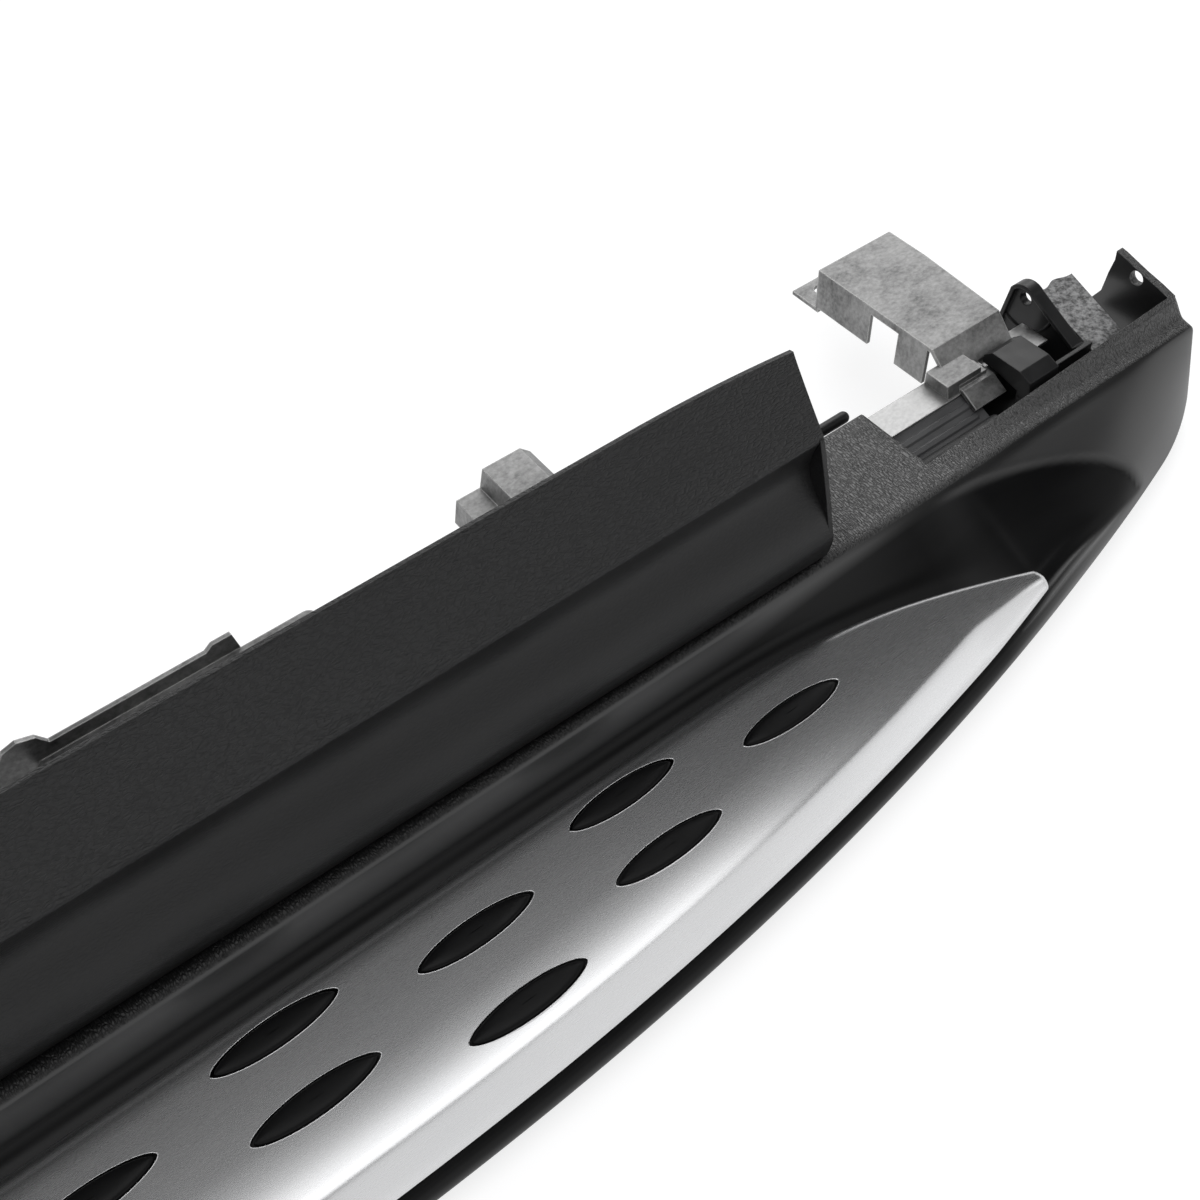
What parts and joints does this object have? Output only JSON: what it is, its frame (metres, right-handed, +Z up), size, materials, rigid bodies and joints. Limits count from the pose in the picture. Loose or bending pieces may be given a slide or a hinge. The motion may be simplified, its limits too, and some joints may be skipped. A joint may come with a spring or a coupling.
{
  "type": "running board",
  "caption": "Side step board for a tall car: black moulding with a leaf-shaped studded tread plate, grained sill trim and steel mounting brackets.",
  "frame": {"origin": "middle of the underside of the whole board, brackets included", "axes": "+X along the board, +Y towards the car, +Z up"},
  "size_m": [1.95, 0.301, 0.173],
  "materials": {
    "shell_black": "satin moulded, fine grain on the deck",
    "tread_metal": "satin anodised, finely brushed along its length",
    "stud_rubber": "dull black rubber",
    "trim_black": "leather grain",
    "seal_foam": "open foam",
    "clip_plastic": "smooth nylon",
    "channel_black": "smooth moulded, dark grey",
    "bracket_zinc": "mottled zinc",
    "fastener_zinc": "bright zinc plate",
    "holder_black": "smooth moulded",
    "plate_dark": "rough dip coat",
    "profile_rubber": "extruded rubber"
  },
  "bodies": {
    "root": {"board_moulding": "shell_black", "step_plate": "tread_metal", "stud_mat": "stud_rubber", "rocker_trim": "trim_black", "trim_seal": "seal_foam", "trim_clips": "clip_plastic", "body_clips": "clip_plastic", "carrier_rail": "bracket_zinc", "rail_channel": "channel_black", "skirt_screws": "fastener_zinc", "bracket_bolts": "fastener_zinc", "bracket_nuts": "fastener_zinc", "bracket_washers": "fastener_zinc", "plate_studs": "fastener_zinc", "plate_nuts": "fastener_zinc", "end_arm_right": "bracket_zinc", "mid_arm_right": "bracket_zinc", "wide_bracket_right": "bracket_zinc", "end_holder_right": "holder_black", "end_plate_right": "plate_dark", "locating_peg_right": "clip_plastic", "edge_profile_right": "profile_rubber", "end_arm_left": "bracket_zinc", "mid_arm_left": "bracket_zinc", "wide_bracket_left": "bracket_zinc", "end_holder_left": "holder_black", "end_plate_left": "plate_dark", "locating_peg_left": "clip_plastic", "edge_profile_left": "profile_rubber"}
  },
  "joints": []
}
